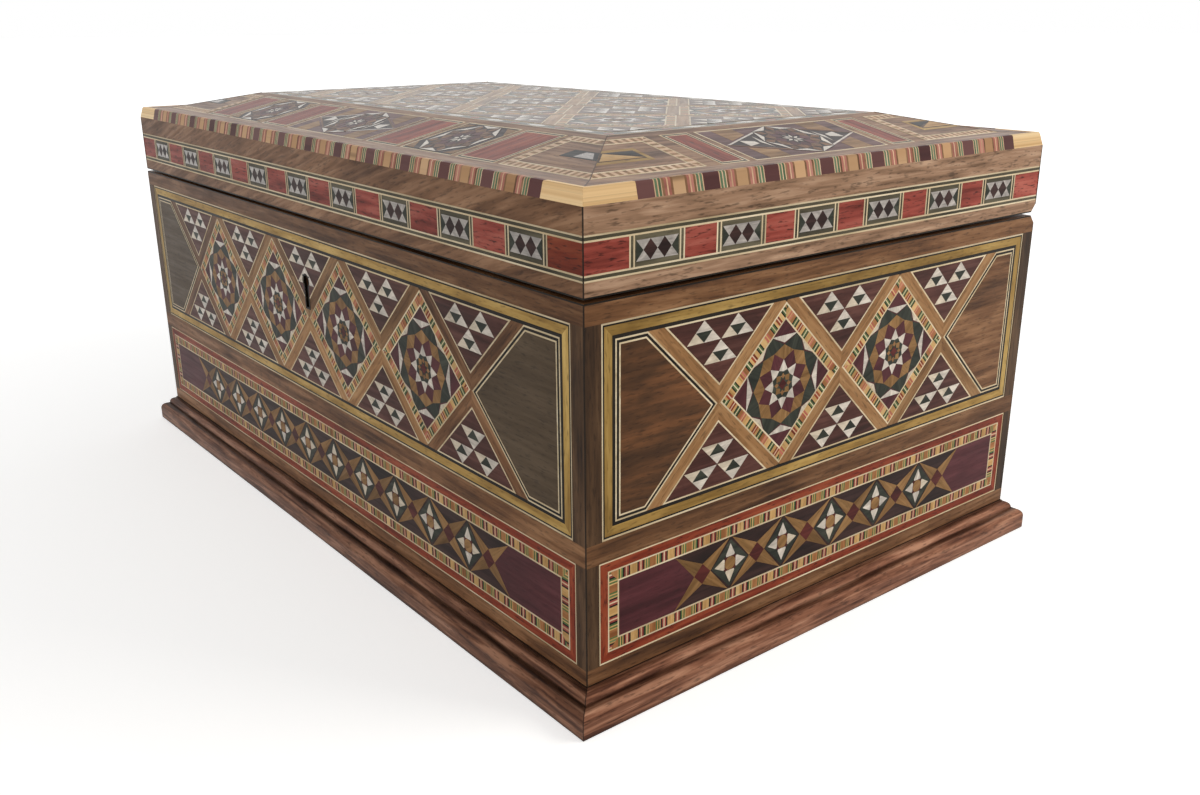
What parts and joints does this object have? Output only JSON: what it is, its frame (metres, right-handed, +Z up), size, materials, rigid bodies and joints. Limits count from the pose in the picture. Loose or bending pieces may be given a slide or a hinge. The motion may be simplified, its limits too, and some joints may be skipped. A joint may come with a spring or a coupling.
{
  "type": "inlaid wooden box",
  "caption": "Rectangular walnut box with wood and shell mosaic inlay, moulded plinth, hinged coffered lid, velvet lining and a till lock with a sliding bolt.",
  "frame": {"origin": "underside of the plinth, middle of the overall length and width", "axes": "+X along the front from left to right as seen facing the keyhole, front towards -Y, +Z up"},
  "size_m": [0.309, 0.196, 0.142],
  "materials": {
    "walnut": "oiled, satin",
    "dark_walnut": "oiled, satin",
    "red_walnut": "oiled, satin",
    "softwood": "bare",
    "lemonwood": "polished",
    "padauk": "polished",
    "purple_wood": "polished",
    "mosaic": "polished mosaic of several woods",
    "pale_inlay": "polished shell and bone",
    "blond_wood": "polished",
    "velvet": "short pile over card",
    "brass": "brushed",
    "steel": "brushed"
  },
  "bodies": {
    "case": {"front_wall": "walnut", "back_wall": "walnut", "left_wall": "walnut", "right_wall": "walnut", "bottom_board": "softwood", "plinth_front": "red_walnut", "plinth_back": "red_walnut", "plinth_left": "red_walnut", "plinth_right": "red_walnut", "panel_border_front": "lemonwood", "panel_border_back": "lemonwood", "panel_border_left": "lemonwood", "panel_border_right": "lemonwood", "panel_lattices": "walnut", "end_panels": "dark_walnut", "star_frames": "mosaic", "star_grounds": "purple_wood", "star_points": "pale_inlay", "triangle_tiles": "purple_wood", "triangle_inlays": "pale_inlay", "frieze_bands": "padauk", "frieze_mosaics": "mosaic", "frieze_field_front": "purple_wood", "frieze_field_back": "purple_wood", "frieze_field_left": "purple_wood", "frieze_field_right": "purple_wood", "frieze_tiles": "pale_inlay", "lining_floor": "velvet", "lining_walls": "velvet", "hinge_case_leaves": "brass", "hinge_pins": "steel", "hinge_case_brads": "brass", "lock_case": "steel", "lock_plate": "brass", "lock_brads": "brass"},
    "lid": {"lid_rail_front": "walnut", "lid_rail_back": "walnut", "lid_rail_left": "walnut", "lid_rail_right": "walnut", "lid_top_board": "softwood", "lid_lining": "velvet", "lid_stringing": "mosaic", "lid_red_blocks": "padauk", "lid_tiles": "mosaic", "lid_edge_strips": "mosaic", "lid_edge_corners": "blond_wood", "lid_slope_veneers": "walnut", "lid_corner_panels": "walnut", "lid_red_slats": "padauk", "lid_star_panels": "purple_wood", "lid_medallions": "pale_inlay", "lid_centre_border": "mosaic", "lid_centre_panel": "walnut", "hinge_lid_leaves": "brass", "hinge_lid_brads": "brass", "lock_strike": "brass", "strike_brads": "brass"},
    "lock_bolt": {"lock_bolt": "steel"}
  },
  "joints": [
    {"name": "lid_hinge", "type": "hinge", "parent": "case", "child": "lid", "pos_m": [0, 0.0894, 0.1105], "axis": [-1, 0, 0], "range_deg": [0, 100]},
    {"name": "bolt_slide", "type": "slide", "parent": "case", "child": "lock_bolt", "axis": [1, 0, 0], "range_m": [0, 0.005]}
  ]
}
